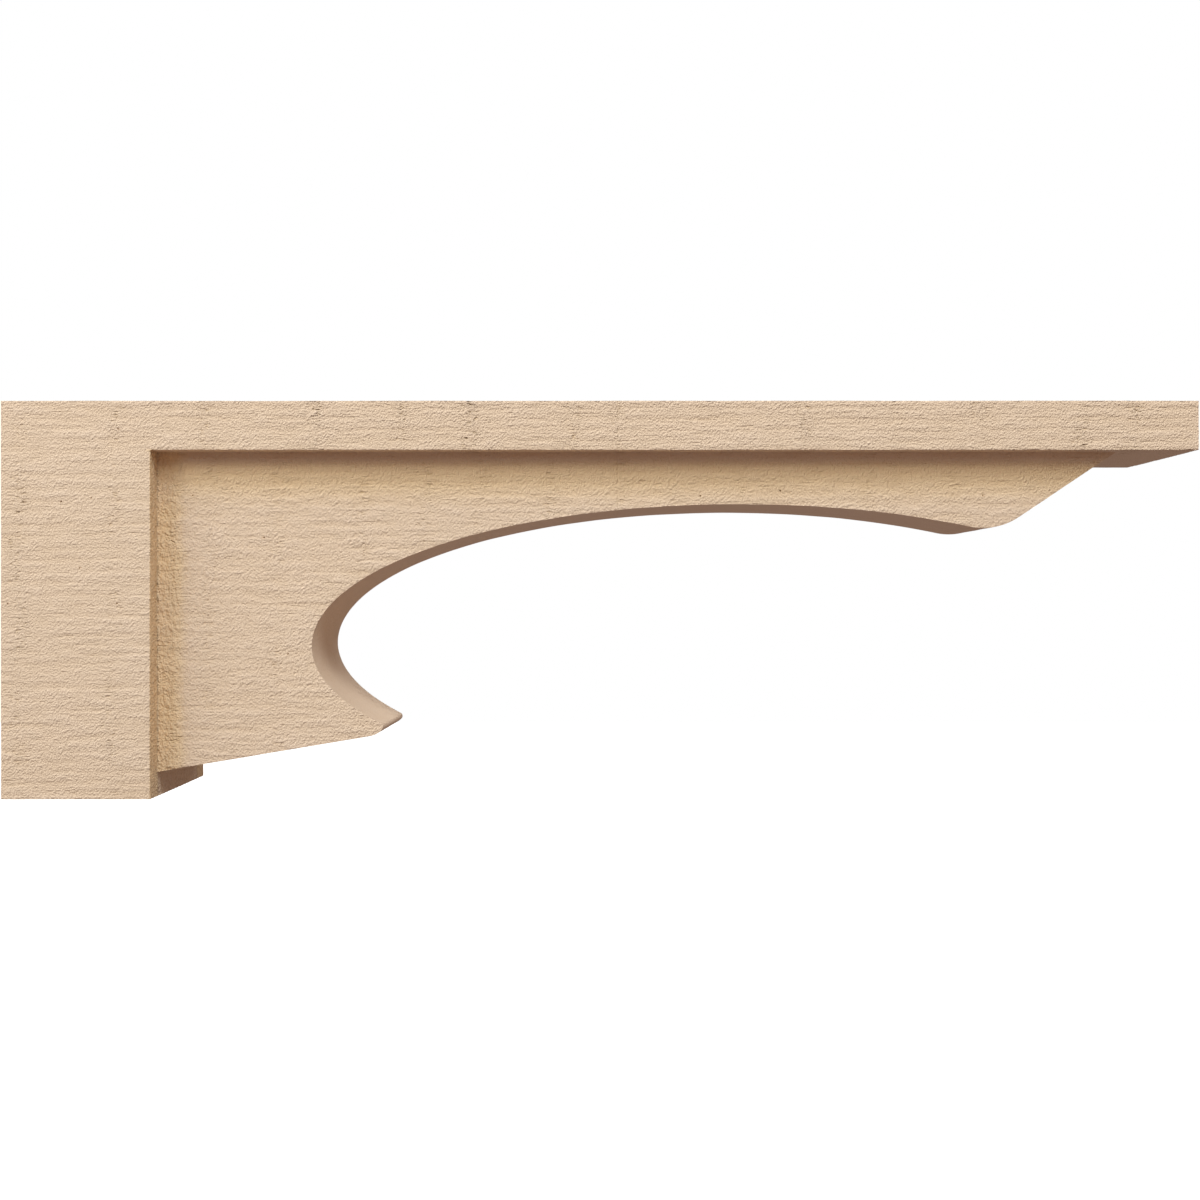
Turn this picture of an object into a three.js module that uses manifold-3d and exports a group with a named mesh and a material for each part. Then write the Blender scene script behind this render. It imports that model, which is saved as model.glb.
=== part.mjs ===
// A long corbel for an eave, a mantel or a deep shelf, moulded in one piece to look like rough-sawn timber.
// A block stands against the wall, a board on top of it reaches out from the wall, and a thinner web fills
// the corner between them. The web's lower edge is cut away in one long ellipse, which leaves a pointed foot
// near the wall and a rounded nose under the board's far end.
//
// Millimetres, +Z up. The origin is the middle of the face that goes against the wall. +X points away from
// the wall, and the corbel is the same on both sides of the plane Y = 0.

import * as THREE from "three";
import { mergeVertices } from "three/addons/utils/BufferGeometryUtils.js";
import Module from "manifold-3d";

// The whole corbel
const PROJECTION = 914.4; // from the wall to the end of the board
const HEIGHT = 304.8;
const WIDTH = 152.4;

// The block against the wall and the board on top
const BLOCK_THICKNESS = 114.3;
const BOARD_THICKNESS = 38.1;

// The web
const WEB_SETBACK = 19.05; // from a side of the board to the web's face on the same side
const FOOT_PITCH = 1 / 6; // rise over run of the lower edge, a line from the corner of wall and base
const FOOT_RADIUS = 19; // where the lower edge turns up to the tip of the foot
const TIP_RADIUS = 3.2;
const TIP_LIFT = 5.9; // square to the lower edge's line, up to the centre of the tip's round
const NOSE_PITCH = 2 / 3; // rise over run of the sloping end, a line to the board's upper far corner
const NOSE_RADIUS = 50.8;

// The hollow is part of an ellipse. These are the gaps between the whole ellipse and what stands round it.
const HOLLOW_TO_BLOCK = 119.4;
const HOLLOW_TO_BOARD = 40.1;
const HOLLOW_TO_BASE = 6.4; // up from the level of the block's lower end
const HOLLOW_TO_END = 18; // back from the board's far end

const SEGMENTS_IN_HOLLOW = 120;
const SEGMENTS_IN_ROUND = 12;
const COLOUR = 0xd7bfa5;

const BASE = -HEIGHT / 2;
const TOP = HEIGHT / 2;
const UNDER_BOARD = TOP - BOARD_THICKNESS;
const WEB_THICKNESS = WIDTH - 2 * WEB_SETBACK;

const hollowBox = new THREE.Box2(
  new THREE.Vector2(BLOCK_THICKNESS + HOLLOW_TO_BLOCK, BASE + HOLLOW_TO_BASE),
  new THREE.Vector2(PROJECTION - HOLLOW_TO_END, UNDER_BOARD - HOLLOW_TO_BOARD),
);
const hollowCentre = hollowBox.getCenter(new THREE.Vector2());
const hollowRadii = hollowBox.getSize(new THREE.Vector2()).divideScalar(2);

// The direction from the ellipse into the web, square to the ellipse, where its angle is t.
function intoWeb(t) {
  return new THREE.Vector2(Math.cos(t) * hollowRadii.y, Math.sin(t) * hollowRadii.x).normalize();
}

// The centre of a circle in the web that touches the ellipse where its angle is t.
function touchingCentre(t, radius) {
  const onEllipse = new THREE.Vector2(Math.cos(t), Math.sin(t)).multiply(hollowRadii).add(hollowCentre);
  return onEllipse.addScaledVector(intoWeb(t), radius);
}

// A straight edge of the web, which goes through `corner` and rises along +X with `pitch`. The web is on
// its left.
function edgeThrough(corner, pitch) {
  const along = new THREE.Vector2(1, pitch).normalize();
  const inward = new THREE.Vector2(-along.y, along.x);
  return { corner, along, inward, outwardAngle: inward.clone().negate().angle() };
}

// The circle in the web that touches the ellipse and has its centre at a height of `lift` over the edge.
// The centre is higher than that at angle `near` of the ellipse and lower at angle `far`, so halving the
// gap between the two finds the place.
function roundAtHollow(edge, radius, lift, near, far) {
  for (let step = 0; step < 40; step += 1) {
    const middle = (near + far) / 2;
    if (touchingCentre(middle, radius).sub(edge.corner).dot(edge.inward) > lift) {
      near = middle;
    } else {
      far = middle;
    }
  }
  return {
    centre: touchingCentre(near, radius),
    hollowAngle: near,
    toHollow: intoWeb(near).negate().angle(),
  };
}

// The centre of the circle that touches the edge and wraps round the smaller circle of the tip.
function footCentre(edge, tip) {
  const onRail = edge.corner.clone().addScaledVector(edge.inward, FOOT_RADIUS);
  const toTip = tip.centre.clone().sub(onRail);
  const behindTip = Math.sqrt((FOOT_RADIUS - TIP_RADIUS) ** 2 - toTip.dot(edge.inward) ** 2);
  return onRail.addScaledVector(edge.along, toTip.dot(edge.along) - behindTip);
}

function arc(centre, radii, from, to, clockwise, segments) {
  const curve = new THREE.EllipseCurve(centre.x, centre.y, radii.x, radii.y, from, to, clockwise);
  return curve.getPoints(segments);
}

function circleArc(centre, radius, from, to) {
  return arc(centre, new THREE.Vector2(radius, radius), from, to, false, SEGMENTS_IN_ROUND);
}

// The web as seen from the side: along the lower edge from the block, up and round the tip of the foot,
// through the hollow, round the nose, up the sloping end and back inside the board. It reaches halfway into
// the block and the board.
function webOutline() {
  const lowerEdge = edgeThrough(new THREE.Vector2(0, BASE), FOOT_PITCH);
  const slopingEnd = edgeThrough(new THREE.Vector2(PROJECTION, TOP), NOSE_PITCH);
  const tip = roundAtHollow(lowerEdge, TIP_RADIUS, TIP_LIFT, Math.PI, 1.5 * Math.PI);
  const nose = roundAtHollow(slopingEnd, NOSE_RADIUS, NOSE_RADIUS, 0.5 * Math.PI, 0);
  const foot = footCentre(lowerEdge, tip);
  const footToTip = tip.centre.clone().sub(foot).angle();
  const inBlock = BLOCK_THICKNESS / 2;
  const inBoard = BOARD_THICKNESS / 2;
  return new THREE.Shape([
    new THREE.Vector2(inBlock, BASE + inBlock * FOOT_PITCH),
    ...circleArc(foot, FOOT_RADIUS, lowerEdge.outwardAngle, footToTip),
    ...circleArc(tip.centre, TIP_RADIUS, footToTip, tip.toHollow).slice(1),
    ...arc(hollowCentre, hollowRadii, tip.hollowAngle, nose.hollowAngle, true, SEGMENTS_IN_HOLLOW).slice(1),
    ...circleArc(nose.centre, NOSE_RADIUS, nose.toHollow, slopingEnd.outwardAngle).slice(1),
    new THREE.Vector2(PROJECTION - inBoard / NOSE_PITCH, TOP - inBoard),
    new THREE.Vector2(inBlock, TOP - inBoard),
  ]);
}

// The block and the board together, as seen from the side.
function blockAndBoardOutline() {
  return new THREE.Shape([
    new THREE.Vector2(0, BASE),
    new THREE.Vector2(BLOCK_THICKNESS, BASE),
    new THREE.Vector2(BLOCK_THICKNESS, UNDER_BOARD),
    new THREE.Vector2(PROJECTION, UNDER_BOARD),
    new THREE.Vector2(PROJECTION, TOP),
    new THREE.Vector2(0, TOP),
  ]);
}

// An outline in the XZ plane, given a thickness along Y with its middle at Y = 0.
function extrudeAcross(outline, thickness) {
  const geometry = new THREE.ExtrudeGeometry(outline, { depth: thickness, bevelEnabled: false });
  geometry.rotateX(Math.PI / 2);
  geometry.translate(0, thickness / 2, 0);
  return geometry;
}

const wasm = await Module();
wasm.setup();

function solidFrom(geometry) {
  geometry.deleteAttribute("normal");
  geometry.deleteAttribute("uv");
  const merged = mergeVertices(geometry);
  return new wasm.Manifold(new wasm.Mesh({
    numProp: 3,
    vertProperties: merged.attributes.position.array,
    triVerts: new Uint32Array(merged.index.array),
  }));
}

function geometryFrom(solid) {
  const mesh = solid.getMesh();
  const geometry = new THREE.BufferGeometry();
  geometry.setAttribute("position", new THREE.BufferAttribute(mesh.vertProperties, 3));
  geometry.setIndex(new THREE.BufferAttribute(mesh.triVerts, 1));
  geometry.computeVertexNormals();
  return geometry;
}

const blockAndBoard = solidFrom(extrudeAcross(blockAndBoardOutline(), WIDTH));
const web = solidFrom(extrudeAcross(webOutline(), WEB_THICKNESS));

const moulding = new THREE.Mesh(
  geometryFrom(blockAndBoard.add(web)),
  new THREE.MeshStandardMaterial({ color: COLOUR, roughness: 0.85, metalness: 0 }),
);
moulding.name = "corbel";

const corbel = new THREE.Group();
corbel.add(moulding);

export default corbel;
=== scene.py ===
# %% [markdown]
# # A long corbel with a rough-sawn face
#
# This corbel is one moulding that imitates sawn timber. A block goes against the wall, a board on top reaches
# out nearly a metre, and a thinner web fills the corner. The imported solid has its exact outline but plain
# flat faces. This lesson puts a new skin over the solid: the same form, with the saw's texture as real
# relief, one tan coat of primer, and the soft light of a product photograph.
#
# Lengths are in metres. X points out from the wall, Y across the corbel and Z up.

import math

import bpy
import numpy as np
from mathutils.geometry import delaunay_2d_cdt
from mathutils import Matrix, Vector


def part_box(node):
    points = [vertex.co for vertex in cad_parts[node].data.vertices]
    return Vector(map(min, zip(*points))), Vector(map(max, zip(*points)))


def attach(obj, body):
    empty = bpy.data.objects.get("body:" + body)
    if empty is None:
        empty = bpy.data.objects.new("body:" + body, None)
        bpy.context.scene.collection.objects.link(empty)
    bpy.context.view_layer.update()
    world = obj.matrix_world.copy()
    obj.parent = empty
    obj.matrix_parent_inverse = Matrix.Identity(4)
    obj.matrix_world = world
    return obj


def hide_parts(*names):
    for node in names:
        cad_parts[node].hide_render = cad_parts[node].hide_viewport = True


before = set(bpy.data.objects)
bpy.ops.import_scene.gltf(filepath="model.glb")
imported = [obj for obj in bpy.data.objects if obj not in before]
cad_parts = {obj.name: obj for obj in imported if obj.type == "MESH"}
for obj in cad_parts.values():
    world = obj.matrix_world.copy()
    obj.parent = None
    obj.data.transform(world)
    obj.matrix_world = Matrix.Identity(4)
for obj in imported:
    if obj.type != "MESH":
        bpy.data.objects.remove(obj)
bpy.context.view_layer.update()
low, high = (np.array(corner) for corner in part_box("corbel"))
print("the solid reaches from", low.round(4), "to", high.round(4))

# %% [markdown]
# ## The outline
#
# The real corbel is flat on both sides, so two outlines hold its whole form: an L for the block and the
# board, and a second outline for the web between them. The web's lower edge is a straight line, a small
# rounded foot, part of an ellipse, a rounded nose and another straight line. A mould maker would draw it the
# same way, with lines and arcs that touch, so the sizes here are those of the solid.

# %% Sizes
PROJECTION = high[0]
HALF_HEIGHT = high[2]
HALF_WIDTH = high[1]
BLOCK_THICKNESS = 0.1143
BOARD_THICKNESS = 0.0381
WEB_SETBACK = 0.01905
FOOT_PITCH, FOOT_RADIUS = 1 / 6, 0.019
TIP_RADIUS, TIP_LIFT = 0.0032, 0.0059
NOSE_PITCH, NOSE_RADIUS = 2 / 3, 0.0508
HOLLOW_TO_BLOCK, HOLLOW_TO_BOARD = 0.1194, 0.0401
HOLLOW_TO_BASE, HOLLOW_TO_END = 0.0064, 0.018

UNDER_BOARD = HALF_HEIGHT - BOARD_THICKNESS
HALF_WEB = HALF_WIDTH - WEB_SETBACK
hollow_low = np.array([BLOCK_THICKNESS + HOLLOW_TO_BLOCK, HOLLOW_TO_BASE - HALF_HEIGHT])
hollow_high = np.array([PROJECTION - HOLLOW_TO_END, UNDER_BOARD - HOLLOW_TO_BOARD])
hollow_centre = (hollow_low + hollow_high) / 2
hollow_radii = (hollow_high - hollow_low) / 2
print("the hollow's ellipse: centre", hollow_centre.round(4), "half-axes", hollow_radii.round(4))


# %% Arcs that touch
TRIED_ANGLES = 20001  # how finely a touching circle is looked for along the ellipse


def into_web(t):
    """The unit direction square to the ellipse at its angle t: (b cos t, a sin t), made one long."""
    direction = np.stack([np.cos(t) * hollow_radii[1], np.sin(t) * hollow_radii[0]], -1)
    return direction / np.linalg.norm(direction, axis=-1, keepdims=True)


def ellipse(t):
    """A point of the ellipse: its centre plus (a cos t, b sin t)."""
    return hollow_centre + np.stack([np.cos(t), np.sin(t)], -1) * hollow_radii


def round_at_hollow(corner, pitch, radius, lift, near, far):
    """The circle that touches the ellipse with its centre at `lift` over a straight edge: the circle's
    height over the edge falls steadily from angle near to angle far, so it is read off a fine table."""
    inward = np.array([-pitch, 1]) / math.hypot(1, pitch)
    t = np.linspace(near, far, TRIED_ANGLES)
    height = (ellipse(t) + radius * into_web(t) - corner) @ inward
    t = np.interp(-lift, -height, t)
    return ellipse(t) + radius * into_web(t), t, inward


def arc(centre, radius, start, end, step):
    """Points on a circle from one direction to another, anticlockwise, about `step` apart."""
    a, b = (math.atan2(d[1], d[0]) for d in (start, end))
    b += 2 * math.pi if b < a else 0
    count = max(4, math.ceil((b - a) * radius / step)) + 1
    t = np.linspace(a, b, count)
    return centre + radius * np.stack([np.cos(t), np.sin(t)], -1)


# %% The web's lower edge
FINE, LONG = 0.0013, 0.0042  # the mesh's spacing across the grain and along it
FOOT_STEP, TIP_STEP, NOSE_STEP = 0.0015, 0.0008, 0.003  # and round the web's curves


def straight(a, b, step=(LONG, FINE)):
    """Points from a to b, evenly apart, with the spacing that belongs to the line's direction."""
    a, b = np.asarray(a, float), np.asarray(b, float)
    count = max(1, round(float(np.linalg.norm((b - a) / np.asarray(step)))))
    return a + (b - a) * np.linspace(0, 1, count + 1)[:, None]


wall_base = np.array([0, -HALF_HEIGHT])
far_top = np.array([PROJECTION, HALF_HEIGHT])
tip, tip_angle, up_from_foot = round_at_hollow(
    wall_base, FOOT_PITCH, TIP_RADIUS, TIP_LIFT, math.pi, 1.5 * math.pi)
nose, nose_angle, in_from_nose = round_at_hollow(
    far_top, NOSE_PITCH, NOSE_RADIUS, NOSE_RADIUS, 0.5 * math.pi, 0)
rail = wall_base + up_from_foot * FOOT_RADIUS
along_foot = np.array([up_from_foot[1], -up_from_foot[0]])
to_tip = tip - rail
behind = math.sqrt((FOOT_RADIUS - TIP_RADIUS) ** 2 - (to_tip @ up_from_foot) ** 2)
foot = rail + along_foot * (to_tip @ along_foot - behind)

web_start = np.array([BLOCK_THICKNESS, BLOCK_THICKNESS * FOOT_PITCH - HALF_HEIGHT])
web_end = np.array([PROJECTION - BOARD_THICKNESS / NOSE_PITCH, UNDER_BOARD])
foot_arc = arc(foot, FOOT_RADIUS, -up_from_foot, tip - foot, FOOT_STEP)
tip_arc = arc(tip, TIP_RADIUS, tip - foot, -into_web(tip_angle), TIP_STEP)
nose_arc = arc(nose, NOSE_RADIUS, -into_web(nose_angle), -in_from_nose, NOSE_STEP)
MEASURED_ANGLES = 4001  # how finely the length of the hollow is added up
angles = np.linspace(tip_angle, nose_angle, MEASURED_ANGLES)
steps = np.abs(np.diff(ellipse(angles), axis=0)) / np.array([LONG, NOSE_STEP])
travelled = np.concatenate([[0], np.cumsum(np.hypot(*steps.T))])
evenly = np.linspace(0, travelled[-1], round(travelled[-1]) + 1)
hollow = ellipse(np.interp(evenly, travelled, angles))
lower_edge = np.concatenate([
    straight(web_start, foot_arc[0]), foot_arc[1:], tip_arc[1:], hollow[1:], nose_arc[1:],
    straight(nose_arc[-1], web_end)[1:]])
print("the web's lower edge has", len(lower_edge), "points; the foot reaches", tip_arc[:, 0].max().round(4))

# %% [markdown]
# ## The rough-sawn texture
#
# On real sawn timber the saw leaves long furrows along the board, with a narrow groove at an even pace where
# it is fed forward. Between them the fibres tear into short slanting ripples. Every few centimetres the blade
# chatters and leaves an upright band of deeper nicks. The mould copied all of that. Here it is a height for
# every place on a face, made of smooth random noise that is stretched along the grain. It could also be
# sculpted by hand, but a formula covers every face alike and can be tuned. The height is never above zero,
# so the relief is cut into the solid and the corbel doesn't grow.

# %% Smooth noise
TABLE = 509  # the noise repeats after this many whole numbers


def noise(u, v, seed):
    """Smooth noise from -1 to 1. Random values stand on whole numbers of u and v, and a place between them
    blends its four neighbours with the curve 3t^2 - 2t^3."""
    table = np.random.default_rng(seed).uniform(-1, 1, (TABLE, TABLE))
    i, j = np.floor(u).astype(int), np.floor(v).astype(int)
    s, t = u - i, v - j
    s, t = s * s * (3 - 2 * s), t * t * (3 - 2 * t)
    i, j = i % TABLE, j % TABLE
    k, m = (i + 1) % TABLE, (j + 1) % TABLE
    near = table[i, j] * (1 - s) + table[k, j] * s
    far = table[i, m] * (1 - s) + table[k, m] * s
    return near * (1 - t) + far * t


# %% Furrows, ripples and chatter
RELIEF = 0.00015  # metres of relief for one unit of the sum below
PACE = 0.0085  # the saw's feed leaves one narrow groove this often
CHATTER_HALF_WIDTH = 0.006
BAND_SPACING, WEB_BAND_SPACING = 0.065, 0.048


def band_places(spacing, seed):
    """One place along the grain in each stretch as long as `spacing`, from the wall to the board's end: the
    middle of the stretch, moved by noise by up to a third of its length."""
    stretch = np.arange(round(PROJECTION / spacing))
    return spacing * (stretch + 0.5 + noise(stretch, stretch * 0, seed) / 3)


CHATTER = band_places(BAND_SPACING, 3)
WEB_CHATTER = band_places(WEB_BAND_SPACING, 4)
print("chatter bands on the block and board:", CHATTER.round(3).tolist())


def chatter(u, w, seed, places):
    """From 0 to 1: how much of the blade's chatter there is at u and w. Each band is a bell curve of u round
    one of the places, which wanders a little and fades in and out along w."""
    wander = 0.003 * noise(w / 0.03, w * 0, seed)
    bands = np.zeros_like(u)
    for n, place in enumerate(places):
        strength = 0.55 + 0.45 * noise(w / 0.018, w * 0 + n, seed + 1)
        away = (u - place - wander) / CHATTER_HALF_WIDTH
        bands = np.maximum(bands, strength * np.exp(-(away**2)))
    return bands


def rough_sawn(u, w, seed, places=CHATTER):
    """Height in metres at u along the grain and w across it: long furrows, finer furrows and a slow swell,
    narrow grooves at an even pace, slanting ripples that come and go, and nicks in the chatter bands."""
    drift = 0.35 * noise(u / 0.09, w / 0.05, seed)
    paces = w / PACE + 0.5 * drift + 0.6 * noise(w / 0.06, w * 0, seed + 8)
    groove = np.round(paces)
    even = 2.0 * np.exp(-((4.2 * (paces - groove)) ** 2))
    even *= 0.6 + 0.4 * noise(u / 0.08, groove, seed + 11)
    furrows = 0.5 * noise(u / 0.060, w / 0.0040 + drift, seed + 2)
    furrows += 0.55 * noise(u / 0.024, w / 0.0029 + drift, seed + 3)
    swell = 0.5 * noise(u / 0.11, w / 0.017, seed + 4)
    patchy = 0.5 + 0.5 * noise(u / 0.045, w / 0.02, seed + 5)
    ripples = 0.8 * patchy * noise(u / 0.010 - w / 0.006, w / 0.0034 + u / 0.02, seed + 6)
    bands = chatter(u, w, seed + 7, places)
    nicks = 1.5 * bands * noise(u / 0.011, w / 0.0032, seed + 9)
    deep = -1.6 * bands * np.clip(noise(u / 0.014, w / 0.0036, seed + 10) - 0.35, 0, 1)
    return np.minimum(RELIEF * (furrows + swell + ripples + nicks + deep - even - 2.0), 0)


sample = rough_sawn(*np.meshgrid(np.arange(0, 0.9, 0.003), np.arange(0, 0.3, 0.001)), 11)
print("relief from", (sample.min() * 1000).round(2), "to", (sample.max() * 1000).round(2), "mm")

# %% [markdown]
# ## Flat faces
#
# A flat face is its outline filled with a grid. The grid is fine across the grain and long along it, because
# that is how the furrows vary, and one row of points runs just inside the outline so that the edge itself can
# be softened. Joining such points into triangles by hand is fiddly, so Blender's constrained Delaunay filler
# does it. Faces that meet share the points of their common edge, and are welded there afterwards.
#
# A small round pit needs finer points than the grid has. It gets a few of its own, and the grid keeps clear.

# %% Inside, and a little further inside
EDGE_ROW = 0.0011  # from an edge to the row of points beside it
GRID_EDGE = EDGE_ROW * 1.6  # and to the first points of the grid
NEARLY_NOTHING = 1e-7
PIT_POINTS, PIT_CLEARANCE = 17, 0.0024  # points in one pit, and from its middle to the nearest grid point


def inset(outline, distance):
    """The closed outline moved inwards. Each point moves along the sum of its two edge normals, divided by
    one plus their dot product, which keeps both edges at the full distance."""
    edge = np.roll(outline, -1, 0) - outline
    normal = np.stack([-edge[:, 1], edge[:, 0]], -1) / np.linalg.norm(edge, axis=1, keepdims=True)
    before = np.roll(normal, 1, 0)
    lean = 1 + (normal * before).sum(1, keepdims=True)
    return outline + distance * (normal + before) / lean


def inside(points, outline):
    """True for points inside the outline: a ray along +u crosses the outline an odd number of times."""
    a, b = outline, np.roll(outline, -1, 0)
    odd = np.zeros(len(points), bool)
    for (au, av), (bu, bv) in zip(a, b):
        if av != bv:
            spans = (av > points[:, 1]) != (bv > points[:, 1])
            odd ^= spans & (points[:, 0] < (bu - au) * (points[:, 1] - av) / (bv - av) + au)
    return odd


def fill(outline, step, extra=None):
    """Points and triangles of a flat face, from its closed anticlockwise outline. Coordinates are divided
    by the grid's spacing first, so that the filler sees even squares."""
    step = np.asarray(step)
    row = inset(outline, EDGE_ROW)
    start, end = outline.min(0), outline.max(0)
    count = np.round((end - start) / step).astype(int)
    lines = [np.linspace(start[k], end[k], count[k] + 1) for k in (0, 1)]
    grid = np.stack(np.meshgrid(*lines), -1).reshape(-1, 2)
    grid = grid[inside(grid, inset(outline, GRID_EDGE))]
    if extra is not None:
        from_pit = np.linalg.norm(grid[:, None] - extra[None, ::PIT_POINTS], axis=2).min(1)
        grid = np.concatenate([grid[from_pit > PIT_CLEARANCE], extra])
    points = np.concatenate([outline, row, grid]) / step
    around = [list(range(len(outline)))]
    only_inside = 1
    found = delaunay_2d_cdt([tuple(p) for p in points], [], around, only_inside, NEARLY_NOTHING)
    given = [same[0] for same in found[3]]
    return points[given] * step, np.array(found[2])


# %% The outlines of all flat faces
# One letter each, so that a corner below reads at a glance
P, H, W = PROJECTION, HALF_HEIGHT, HALF_WIDTH
U, B, V = UNDER_BOARD, BLOCK_THICKNESS, HALF_WEB
POINTS_ACROSS_WEB = 27
across = np.concatenate([[-V], np.linspace(-V + EDGE_ROW, V - EDGE_ROW, POINTS_ACROSS_WEB), [V]])


def closed(*corners, step):
    """A closed outline through corners. Each side is split evenly, but a side as long as the web is thick
    gets the same points as the web's own lower surface, which it meets."""
    sides = []
    for a, b in zip(corners, corners[1:] + corners[:1]):
        a, b = np.array(a, float), np.array(b, float)
        if math.isclose(np.linalg.norm(b - a), 2 * V):
            sides.append(a + (b - a) * ((across + V) / (2 * V))[:-1, None])
        else:
            sides.append(straight(a, b, step)[:-1])
    return np.concatenate(sides)


ACROSS = 0.0018  # the mesh's spacing along Y
XZ, XY, YZ = (LONG, FINE), (LONG, ACROSS), (ACROSS, FINE)
block_and_board = closed((0, -H), (B, -H), (B, U), (P, U), (P, H), (0, H), step=XZ)
web = np.concatenate([
    lower_edge[:-1], straight(web_end, (B, U))[:-1], straight((B, U), web_start)[:-1]])
top = closed((0, -W), (P, -W), (P, W), (0, W), step=XY)
wall = closed((-W, -H), (W, -H), (W, H), (-W, H), step=YZ)
end = closed((-W, U), (W, U), (W, H), (-W, H), step=YZ)
base = closed((0, -W), (B, -W), (B, W), (0, W), step=XY)
under = closed(
    (B, -W), (P, -W), (P, W), (B, W), (B, V), (web_end[0], V), (web_end[0], -V), (B, -V), step=XY)
front = closed(
    (-W, -H), (W, -H), (W, U), (V, U), (V, web_start[1]), (-V, web_start[1]), (-V, U), (-W, U), step=YZ)
print("outline points:", {"sides": len(block_and_board), "web": len(web), "top": len(top), "wall": len(wall)})

# %% [markdown]
# ## One closed skin
#
# Every face is placed in space with the direction it looks in, and gets a height for each of its points. The
# heights push points along that direction. A point on an edge belongs to two faces and is pushed along both,
# so the skin stays closed. Outside edges are also pushed in by about a tenth of a millimetre, which is the
# slight softness that a mould and a coat of primer give.

# %% Collect the faces
skin = {"points": [], "triangles": [], "looks": [], "push": [], "height": [], "grain": []}


def add(points, triangles, outward, height, grain):
    """Adds a face. Its triangles are turned round if they look inwards. `grain` is how strongly the material
    adds its fine fibres there."""
    outward = np.broadcast_to(outward, points.shape)
    a, b, c = (points[triangles[:, k]] for k in (0, 1, 2))
    if (np.cross(b - a, c - a) * outward[triangles[:, 0]]).sum() < 0:
        triangles = triangles[:, ::-1]
    start = sum(len(p) for p in skin["points"])
    skin["points"].append(points)
    skin["triangles"].append(triangles + start)
    skin["looks"].append(outward)
    skin["push"].append(outward * height[:, None])
    skin["height"].append(height)
    skin["grain"].append(np.broadcast_to(grain, len(points)))


def flat(outline, step, axis, level, sign, surface, grain=0.8, extra=None):
    """A flat face square to one axis, at that level, which looks along sign times the axis. A sign of 0
    makes a pair of them, one on either side."""
    flat_points, triangles = fill(outline, step, extra)
    places = [(sign, level)] if sign else [(-1, -level), (1, level)]
    for s, at in places:
        points = np.insert(flat_points, axis, at, axis=1)
        outward = np.eye(3)[axis] * s
        add(points, triangles, outward, surface(points, s), grain)
    return len(triangles)


# %% The sides: one texture runs through the block and the board
# The clearest pits: from the wall, and up from the middle of the height
PITS = (
    (0.046, 0.075), (0.069, 0.0778), (0.060, 0.0244),
    (0.0885, -0.0026), (0.0052, -0.003), (0.0895, 0.1305))
WEB_PITS = (
    (0.1965, 0.0484), (0.535, 0.0807), (0.597, 0.0848),
    (0.754, 0.0812), (0.141, 0.081), (0.215, -0.042))
PIT_RADIUS, PIT_DEPTH = 0.0009, 0.0007


def pit_points(places):
    """Points for small round pits: the middle of each, one ring of eight just over half way out, and one ring
    of eight at the radius."""
    t = np.arange(8) * math.pi / 4
    ring = np.stack([np.cos(t), np.sin(t)], -1)
    pattern = np.concatenate([[[0, 0]], ring * 0.55, ring]) * PIT_RADIUS
    return (np.array(places)[:, None] + pattern).reshape(-1, 2)


def pits(points, places):
    """Depth of the pits: a bowl that falls with the square of the distance and ends at the radius."""
    distance = np.linalg.norm(points[:, None, ::2] - np.array(places)[None], axis=2).min(1)
    return -PIT_DEPTH * np.clip(1 - (distance / PIT_RADIUS) ** 2, 0, 1)


def side_surface(points, sign):
    """The block and board's sides, each with its own pattern."""
    seed = 100 if sign < 0 else 300
    return rough_sawn(points[:, 0], points[:, 2], seed) + pits(points, PITS)


def web_surface(points, sign):
    """The web's sides, a little smoother and with chatter in places of their own."""
    seed = 500 if sign < 0 else 700
    return 0.9 * rough_sawn(points[:, 0], points[:, 2], seed, WEB_CHATTER) + pits(points, WEB_PITS)


count = flat(block_and_board, XZ, 1, W, 0, side_surface, grain=0.70, extra=pit_points(PITS))
count += flat(web, XZ, 1, V, 0, web_surface, grain=0.69, extra=pit_points(WEB_PITS))
print("each side has", count, "triangles")

# %% [markdown]
# ## The faces that the photograph hides
#
# The top, the underside of the board and the end carry the same timber texture, because the mould is cut all
# round. The wall face is flat, since it is glued to a wall, so wide squares are enough for it. The strips of
# the block beside the web have upright furrows, which show faintly in the photograph.

# %% Top, wall face, end and undersides
WALL_STEP = (0.006, 0.006)


def sawn(share, along, across, seed):
    """A surface with a share of the full relief, where 0 is flat, and its grain along one axis: 0 for X, 1
    for Y and 2 for Z."""
    return lambda points, sign: share * rough_sawn(points[:, along], points[:, across], seed)


count = flat(top, XY, 2, H, 1, sawn(0.8, 0, 1, 900))
count += flat(base, XY, 2, -H, -1, sawn(0.6, 0, 1, 1100))
count += flat(under, XY, 2, U, -1, sawn(0.6, 0, 1, 1300))
count += flat(wall, WALL_STEP, 0, 0, -1, sawn(0, 1, 2, 0), grain=0.2)
count += flat(end, YZ, 0, P, 1, sawn(0.7, 1, 2, 1500))
count += flat(front, YZ, 0, B, 1, sawn(1.4, 2, 1, 1700), grain=1.3)
print("the other flat faces have", count, "triangles")

# %% [markdown]
# ## The curved underside
#
# Under the foot, through the hollow and round the nose the surface is a profile carried straight across the
# web, so it is a grid with the profile one way and Y the other. The real one was cut smooth and only shows
# faint clouds, so its relief is weak.

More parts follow.
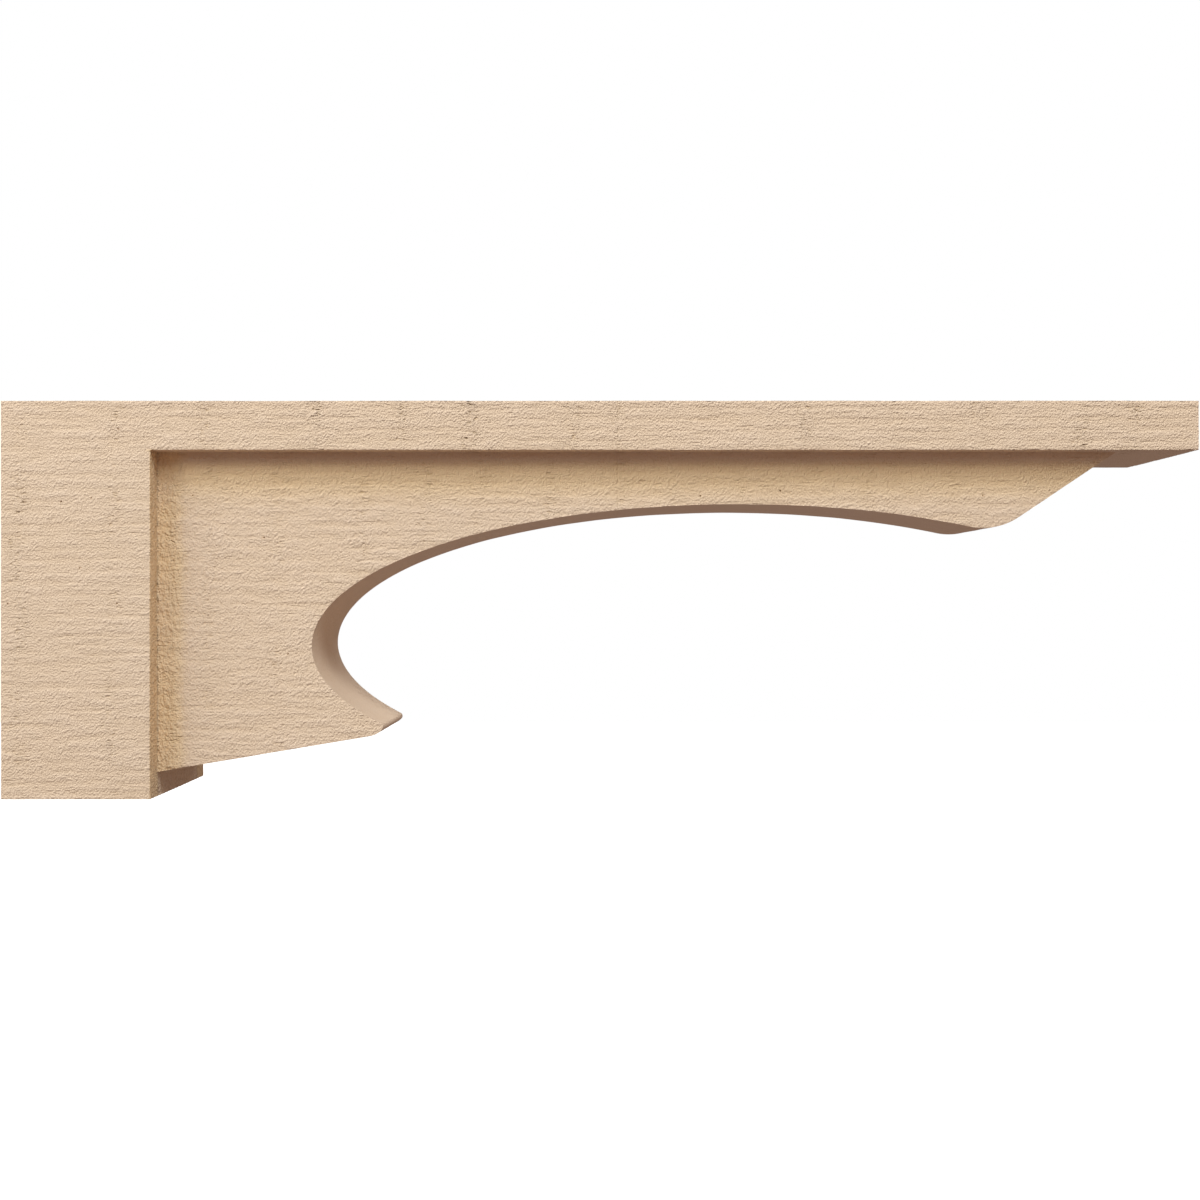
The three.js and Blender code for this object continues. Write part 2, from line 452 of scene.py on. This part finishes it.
# %% Carry the lower edge across the web
grid_y, grid_x = np.meshgrid(across, lower_edge[:, 0])
grid_z = np.repeat(lower_edge[:, 1:], len(across), 1)
points = np.stack([grid_x, grid_y, grid_z], -1).reshape(-1, 3)
slope = np.gradient(lower_edge, axis=0)
down = np.stack([slope[:, 1], -slope[:, 0]], -1) / np.linalg.norm(slope, axis=1, keepdims=True)
outward = np.insert(np.repeat(down, len(across), 0), 1, 0, axis=1)
rows, columns = len(lower_edge), len(across)
corner = (np.arange(rows - 1)[:, None] * columns + np.arange(columns - 1)).ravel()
quads = np.stack([corner, corner + 1, corner + columns + 1, corner + columns], -1)
triangles = np.concatenate([quads[:, [0, 1, 2]], quads[:, [0, 2, 3]]])
faint = 0.00009 * (noise(points[:, 0] / 0.02, points[:, 1] / 0.014, 21) - 1)
add(points, triangles, outward, faint, 0.25)
print("the curved underside has", len(triangles), "triangles")

# %% Weld the faces
SAME = 1e-6  # places are rounded to this, and points that then agree are one point
flat_points = np.concatenate(skin["points"])
rounded = np.round(flat_points / SAME).astype(np.int64)
_, first, place = np.unique(rounded, axis=0, return_index=True, return_inverse=True)
place = place.ravel()
triangles = place[np.concatenate(skin["triangles"])]
points = flat_points[first]
push, height, grain = np.zeros_like(points), np.zeros(len(points)), np.zeros(len(points))
np.add.at(push, place, np.concatenate(skin["push"]))
np.add.at(height, place, np.concatenate(skin["height"]))
np.maximum.at(grain, place, np.concatenate(skin["grain"]))
faces_at = np.bincount(place)
height /= faces_at
print("welded", len(flat_points), "points to", len(points))

# %% Push the points in
SOFTEN = 0.00008
at_web = np.abs(points[:, 1]) < HALF_WEB + SAME
at_block = np.abs(points[:, 0] - BLOCK_THICKNESS) < SAME
at_board = np.abs(points[:, 2] - UNDER_BOARD) < SAME
inner = at_web & (at_block | at_board) | at_block & at_board
outer = (faces_at > 1) & ~inner
looks = np.zeros_like(points)
np.add.at(looks, place, np.concatenate(skin["looks"]))
wear = SOFTEN * (1 + 0.5 * noise(points.sum(1) / 0.004, points[:, 1] / 0.01, 5))
points = points + push - looks * (wear * outer)[:, None]
ends = np.concatenate([triangles[:, [0, 1]], triangles[:, [1, 2]], triangles[:, [2, 0]]])
_, uses = np.unique(np.sort(ends, axis=1), axis=0, return_counts=True)
print(len(triangles), "triangles;", outer.sum(), "points on outer edges;", (uses != 2).sum(), "open edges")

# %% [markdown]
# ## Warm shade in the inner corners
#
# The shade in the inner corners is warmer and more golden than on the lit faces, and it is painted in as a
# golden
# tint: on the web beside the block, as a soft band in the shadow under the board, and on the block's strips
# beside the web. The web beside the block also gets a crumbly upright strip of coarser bump. It could be
# painted by hand, but here each point works it out from its distance to the block and to the board.

# %% The strip beside the block and the band under the board
STRIP_WIDTH = 0.0205
OFF_PLANE = 0.0009  # how far the relief may put a point from the web's plane


def ease(t):
    """From 0 to 1 with soft ends: 3t^2 - 2t^3, where t is kept between 0 and 1."""
    t = np.clip(t, 0, 1)
    return t * t * (3 - 2 * t)


def on_web_side(points):
    """True for points of the web's two flat sides: at half its thickness, past the block, below the board."""
    x, y, z = points.T
    in_plane = np.abs(np.abs(y) - HALF_WEB) < OFF_PLANE
    return in_plane & (x > BLOCK_THICKNESS - 0.001) & (z < UNDER_BOARD + 0.001)


def crumbs_and_warm_shade(points):
    """Two numbers for each point: how much it belongs to the crumbly strip, and how much painted warm shade,
    a golden tint, it gets. Both fall off with the distance from the block or from the board. The strips of
    the block beside the web get the painted warm shade as a whole, and all other faces have neither."""
    x, y, z = points.T
    on_web = on_web_side(points)
    from_block, from_board = x - BLOCK_THICKNESS, UNDER_BOARD - z
    ragged = 0.0016 * noise(z / 0.007, z * 0, 31) + 0.0008 * noise(z / 0.0025, z * 0, 32)
    strip = on_web * ease((STRIP_WIDTH + ragged - from_block) / 0.005)
    # Painted warm shade: a golden tint beside the block, in the shadow band under the board and on the
    # block's strips beside the web
    beside = 0.75 * ease((STRIP_WIDTH + 0.003 + ragged - from_block) / 0.009)
    beside *= 1 + 0.25 * noise(z / 0.03, x / 0.01, 33)
    below = ease((from_board - 0.004) / 0.008) * ease((0.046 - from_board) / 0.030)
    front_strip = 0.70 * (np.abs(from_block) < 0.001) * (np.abs(y) > HALF_WEB)
    return strip, np.maximum(on_web * np.maximum(beside, below), front_strip)


# %% What each point tells the material
x, y, z = points.T
on_web = on_web_side(points)
on_side = np.abs(y) > HALF_WEB + 0.001
on_board = np.clip((x - BLOCK_THICKNESS) / 0.1, 0, 1) * on_side * (grain > 0.5)
web_bands = 0.9 * chatter(x, y + z, 507, WEB_CHATTER)
other_bands = (1.6 + 0.25 * on_board) * chatter(x, y + z, 107, CHATTER)
strip, warm_shade = crumbs_and_warm_shade(points)
told = {
    "relief": height * 1000,
    "grain": grain + 0.12 * on_board + 0.15 * warm_shade,
    "chatter": np.where(on_web, web_bands, other_bands),
    "hole": np.where(on_side, pits(points, PITS), pits(points, WEB_PITS)) / -PIT_DEPTH,
    "strip": strip,
    "warm_shade": warm_shade,
}
for name, values in told.items():
    print(name, "from", values.min().round(2), "to", values.max().round(2))

# %% Put it into a mesh
SHARP_ANGLE = 48  # degrees between two triangles: below it the light flows over their edge
mesh = bpy.data.meshes.new("moulding")
mesh.from_pydata(points, [], triangles)
for name, values in told.items():
    mesh.attributes.new(name, "FLOAT", "POINT").data.foreach_set("value", values)
mesh.shade_smooth()
mesh.set_sharp_from_angle(angle=math.radians(SHARP_ANGLE))
moulding = bpy.data.objects.new("moulding", mesh)
bpy.context.scene.collection.objects.link(moulding)
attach(moulding, "root")
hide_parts("corbel")
print("the moulding has", len(mesh.vertices), "points and", len(mesh.polygons), "triangles")

# %% [markdown]
# ## One coat of primer
#
# The moulding leaves the factory with a flat tan primer. The coat hides any colour of the foam, so what looks
# like grain is almost all light on relief. The finish is one matt colour with painted shade, a little darker
# and redder at the bottom of the furrows, and a fine bump for fibres too thin for the mesh.

# %% The primer's material
finish = bpy.data.materials.new("tan primer")
finish.use_nodes = True
nodes, links = finish.node_tree.nodes, finish.node_tree.links
nodes.clear()


def node(kind, **sockets):
    """Makes a node and sets its input sockets by name, with _ for a space."""
    made = nodes.new(kind)
    for name, value in sockets.items():
        made.inputs[name.replace("_", " ")].default_value = value
    return made


def attribute(name):
    """A number that the mesh keeps for each of its points."""
    made = node("ShaderNodeAttribute")
    made.attribute_name = name
    return made.outputs["Fac"]


def maths(operation, *values):
    """One sum on numbers or on the outputs of other nodes."""
    made = node("ShaderNodeMath")
    made.operation = operation
    for socket, value in zip(made.inputs, values):
        if isinstance(value, bpy.types.NodeSocket):
            links.new(value, socket)
        else:
            socket.default_value = value
    return made.outputs[0]


def clouds(size, detail, tilt=0.0, shake=False):
    """Noise on object coordinates. `size` is the length of one cloud along X, Y and Z in metres, `tilt`
    turns it in the side's plane by that many degrees, and `shake` frays it."""
    mapping = node("ShaderNodeMapping", Scale=size, Rotation=(0, math.radians(tilt), 0))
    mapping.vector_type = "TEXTURE"
    links.new(shaken if shake else coordinates.outputs["Object"], mapping.inputs["Vector"])
    cloud = node("ShaderNodeTexNoise", Scale=1.0, Detail=detail, Roughness=0.5)
    links.new(mapping.outputs["Vector"], cloud.inputs["Vector"])
    return cloud.outputs["Fac"]


coordinates = node("ShaderNodeTexCoord")
output = node("ShaderNodeOutputMaterial")
primer = node("ShaderNodeBsdfPrincipled", Specular_IOR_Level=0.25)
links.new(primer.outputs["BSDF"], output.inputs["Surface"])
shift = node("ShaderNodeCombineXYZ")
links.new(maths("MULTIPLY", clouds((0.0035, 0.0025, 0.0025), 1.0, tilt=-40), 0.0045), shift.inputs["Z"])
moved = node("ShaderNodeVectorMath")
links.new(coordinates.outputs["Object"], moved.inputs[0])
links.new(shift.outputs["Vector"], moved.inputs[1])
shaken = moved.outputs["Vector"]

# %% [markdown]
# ## Fibres, crumbs and cuts
#
# The fibres between the furrows are thinner than the mesh's squares, so the material adds them as bump. Bump
# only changes how the light falls, which is enough for something a few tenths of a millimetre deep. Long
# lines, frayed lines, slanting ripples and fine grit are added up, and the strip beside the block gets
# coarser crumbs. Where a cloud passes a threshold, the fibres are torn out: long cuts anywhere, short nicks
# in the chatter bands.

# %% Its fine fibres
lines = maths("MULTIPLY", clouds((0.035, 0.0018, 0.0019), 0.0), 0.38)
frayed = maths("MULTIPLY", clouds((0.014, 0.0016, 0.0018), 1.0, shake=True), 0.36)
ripples = maths("MULTIPLY", clouds((0.0034, 0.0016, 0.0015), 0.0, tilt=-40), 0.75)
patches = maths("MAXIMUM", maths("MULTIPLY_ADD", clouds((0.022, 0.010, 0.009), 2.0), 3.4, -1.25), 0.0)
grit = maths("MULTIPLY", clouds((0.0013, 0.0014, 0.0014), 0.0), 0.90)
in_strip = maths("MULTIPLY", attribute("strip"), 2.0)
crumbs = maths("MULTIPLY", clouds((0.0027, 0.0030, 0.0060), 1.0), in_strip)
fibres = maths("ADD", maths("ADD", lines, frayed), maths("ADD", maths("MULTIPLY", ripples, patches), grit))

# %% Its cuts and nicks
BLADE_MARK = 0.4709  # metres from the wall: one fine upright line across the board
BUMP_HEIGHT = 0.0013  # metres for one unit of the fibres and cuts
long_cuts = maths("MAXIMUM", maths("SUBTRACT", clouds((0.016, 0.0015, 0.0013), 1.0), 0.645), 0.0)
nicks = maths("MAXIMUM", maths("SUBTRACT", clouds((0.0050, 0.0020, 0.0017), 1.0), 0.55), 0.0)
upright = maths("MULTIPLY_ADD", clouds((0.0015, 0.0060, 0.0060), 1.0), 0.7, -0.35)
in_bands = maths("ADD", maths("MULTIPLY", nicks, 5.0), upright)
torn = maths("ADD", maths("MULTIPLY", long_cuts, 2.2), maths("MULTIPLY", in_bands, attribute("chatter")))
along = node("ShaderNodeSeparateXYZ")
links.new(coordinates.outputs["Object"], along.inputs["Vector"])
from_mark = maths("ABSOLUTE", maths("SUBTRACT", along.outputs["X"], BLADE_MARK))
mark = node("ShaderNodeMapRange", From_Max=0.0007, To_Min=0.3, To_Max=0.0)
links.new(from_mark, mark.inputs["Value"])
torn = maths("ADD", torn, mark.outputs["Result"])
heights = maths("SUBTRACT", maths("ADD", fibres, crumbs), torn)
bump = node("ShaderNodeBump", Distance=BUMP_HEIGHT)
links.new(heights, bump.inputs["Height"])
links.new(attribute("grain"), bump.inputs["Strength"])
links.new(bump.outputs["Normal"], primer.inputs["Normal"])

# %% [markdown]
# ## The primer's colour
#
# The relief and the fibres together choose a place on a short ramp from a shaded brown to a light tan, which
# paints shade into the low places and a little light onto the high ones. Cuts and pits move it towards the
# brown, as painted shade too. In the inner corners painted warm shade multiplies the result by a golden
# colour, so that the grain still shows through.

# %% Its colour
SHADE = (0.20, 0.11, 0.06, 1)
TAN_DEEP = (0.68, 0.475, 0.29, 1)
TAN = (0.768, 0.57, 0.392, 1)
TAN_HIGH = (0.80, 0.612, 0.452, 1)
WARM_SHADE_TINT = (1.11, 1.06, 0.87, 1)  # painted warm shade: what the golden tint does to each colour
# Painted light and shade: deeper relief is coloured darker and browner, higher relief lighter
depth = node("ShaderNodeMapRange", From_Min=-0.9, From_Max=0.1, To_Min=0.13, To_Max=0.58)
links.new(attribute("relief"), depth.inputs["Value"])
ramp = node("ShaderNodeValToRGB")
stops = ramp.color_ramp.elements
stops[0].position, stops[0].color = 0.1, TAN_DEEP
stops[1].position, stops[1].color = 0.95, TAN_HIGH
stops.new(0.5).color = TAN
stops.new(0.0).color = SHADE
from_fibres = maths("MULTIPLY_ADD", torn, -0.45, maths("MULTIPLY", fibres, 0.25))
place_on_ramp = maths("ADD", depth.outputs["Result"], from_fibres)
# Painted shade in the pits: they are coloured towards the brown as well
links.new(maths("MULTIPLY_ADD", attribute("hole"), -0.55, place_on_ramp), ramp.inputs["Fac"])
# A Mix node that is set to colours has its factor in input 0, the colours in 6 and 7, the result in output 2
# Painted warm shade: a golden tint multiplies the colour in the inner corners and in the shadow under the
# board
warm_shade_mix = node("ShaderNodeMix")
warm_shade_mix.data_type, warm_shade_mix.blend_type = "RGBA", "MULTIPLY"
warm_shade_mix.inputs[7].default_value = WARM_SHADE_TINT
links.new(attribute("warm_shade"), warm_shade_mix.inputs[0])
links.new(ramp.outputs["Color"], warm_shade_mix.inputs[6])
links.new(warm_shade_mix.outputs[2], primer.inputs["Base Color"])
links.new(maths("MULTIPLY_ADD", fibres, -0.08, 0.9), primer.inputs["Roughness"])
mesh.materials.append(finish)
print("the primer has", len(nodes), "nodes")

# %% [markdown]
# ## Floor, camera and light
#
# The photograph is a product picture on pure white, taken straight at the corbel's side at mid height. How
# much smaller the far edges look gives the distance from the camera to the near side, and the corbel's length
# across the picture then gives the lens. The light is soft and nearly white. Two lamps stand in front, one
# above the other, two more on the left and one on the right rake across the grain, and one from behind
# lights the top.

# %% The camera
LENGTH_IN_PIXELS, LEFT_EDGE, PICTURE = 1198.9, 0.6, 1200
DISTANCE = 1.123  # from the camera to the near side
SENSOR = 36
camera_data = bpy.data.cameras.new("camera")
camera_data.sensor_width = SENSOR
camera_data.lens = SENSOR * (LENGTH_IN_PIXELS / PICTURE) * DISTANCE / PROJECTION
camera = bpy.data.objects.new("camera", camera_data)
camera.location = ((PICTURE / 2 - LEFT_EDGE) / LENGTH_IN_PIXELS * PROJECTION, -HALF_WIDTH - DISTANCE, 0)
camera.rotation_euler = (math.radians(90), 0, 0)
bpy.context.scene.collection.objects.link(camera)
bpy.context.scene.camera = camera
print("lens", round(camera_data.lens, 2), "mm")

# %% The pale floor
FLOOR_REACH, FLOOR_LEVEL = 12, -1.1
floor_mesh = bpy.data.meshes.new("floor")
directions = [(-1, -1), (1, -1), (1, 1), (-1, 1)]
floor_corners = [(FLOOR_REACH * u, FLOOR_REACH * v, FLOOR_LEVEL) for u, v in directions]
floor_mesh.from_pydata(floor_corners, [], [(0, 1, 2, 3)])
floor = bpy.data.objects.new("floor", floor_mesh)
bpy.context.scene.collection.objects.link(floor)
pale = bpy.data.materials.new("pale floor")
pale.use_nodes = True
pale_inputs = pale.node_tree.nodes["Principled BSDF"].inputs
pale_inputs["Base Color"].default_value = (0.9, 0.9, 0.9, 1)
pale_inputs["Emission Color"].default_value = (1, 1, 1, 1)
pale_inputs["Emission Strength"].default_value = 1.0
floor_mesh.materials.append(pale)
floor.visible_diffuse = floor.visible_glossy = floor.visible_shadow = False
print("the floor is", FLOOR_LEVEL, "m from the middle of the corbel's height")

# %% The lamps
NEARLY_WHITE = (0.865, 0.95, 1)
middle_of_corbel = (0.457, 0, 0)


def lamp(name, place, size, power):
    """A square soft lamp at a place, turned to face the middle of the corbel."""
    data = bpy.data.lights.new(name, "AREA")
    data.size, data.energy, data.color = size, power, NEARLY_WHITE
    made = bpy.data.objects.new(name, data)
    made.location = place
    aim = np.array(middle_of_corbel) - np.array(place)
    made.rotation_euler = (math.atan2(math.hypot(aim[0], aim[1]), -aim[2]), 0, math.atan2(-aim[0], aim[1]))
    bpy.context.scene.collection.objects.link(made)
    return made


lamps = [
    lamp("front lamp", (0.457, -2.785, 1.95), 1.0, 23),
    lamp("high lamp", (0.457, -1.95, 2.785), 1.0, 18.5),
    lamp("left key", (-1.763, -2.298, 1.163), 1.0, 21),
    lamp("left lamp", (-2.7, -1.4, 1.8), 1.8, 58),
    lamp("right lamp", (2.127, -1.729, 2.404), 1.0, 37),
    lamp("back lamp", (0.457, 2.2, 2.6), 2.0, 30),
]
print(len(lamps), "lamps,", sum(made.data.energy for made in lamps), "watts together")

# %% [markdown]
# ## The white surround
#
# A studio tent lights the corbel from all round: most from above, and about half as much, and warmer, from
# the sides and back from the floor. The camera itself sees plain white, as a cut-out product picture has.

# %% Light from above, from the sides and from below
world = bpy.data.worlds.new("white surround")
bpy.context.scene.world = world
world.use_nodes = True
sky, sky_links = world.node_tree.nodes, world.node_tree.links
seen = sky["Background"]
seen.inputs["Color"].default_value = (1, 1, 1, 1)
direction = sky.new("ShaderNodeTexCoord")
split = sky.new("ShaderNodeSeparateXYZ")
sky_links.new(direction.outputs["Generated"], split.inputs["Vector"])
upward = sky.new("ShaderNodeMapRange")
upward.inputs["From Min"].default_value = -1
sky_links.new(split.outputs["Z"], upward.inputs["Value"])
FROM_FLOOR = (0.27, 0.216, 0.207, 1)
FROM_SIDES = (0.285, 0.224, 0.198, 1)
FROM_ABOVE = (0.525, 0.51, 0.50, 1)
tent = sky.new("ShaderNodeValToRGB")
tent.color_ramp.elements[0].color = FROM_FLOOR
tent.color_ramp.elements[1].color = FROM_ABOVE
tent.color_ramp.elements.new(0.5).color = FROM_SIDES
sky_links.new(upward.outputs["Result"], tent.inputs["Fac"])
shining = sky.new("ShaderNodeBackground")
sky_links.new(tent.outputs["Color"], shining.inputs["Color"])
rays = sky.new("ShaderNodeLightPath")
choose = sky.new("ShaderNodeMixShader")  # its input 0 is the factor, and 1 and 2 are the two shaders
sky_links.new(rays.outputs["Is Camera Ray"], choose.inputs[0])
sky_links.new(shining.outputs["Background"], choose.inputs[1])
sky_links.new(seen.outputs["Background"], choose.inputs[2])
sky_links.new(choose.outputs["Shader"], sky["World Output"].inputs["Surface"])
bpy.context.scene.view_settings.view_transform = "Standard"
bpy.context.scene.view_settings.look = "None"
print("the surround has", len(sky), "nodes")
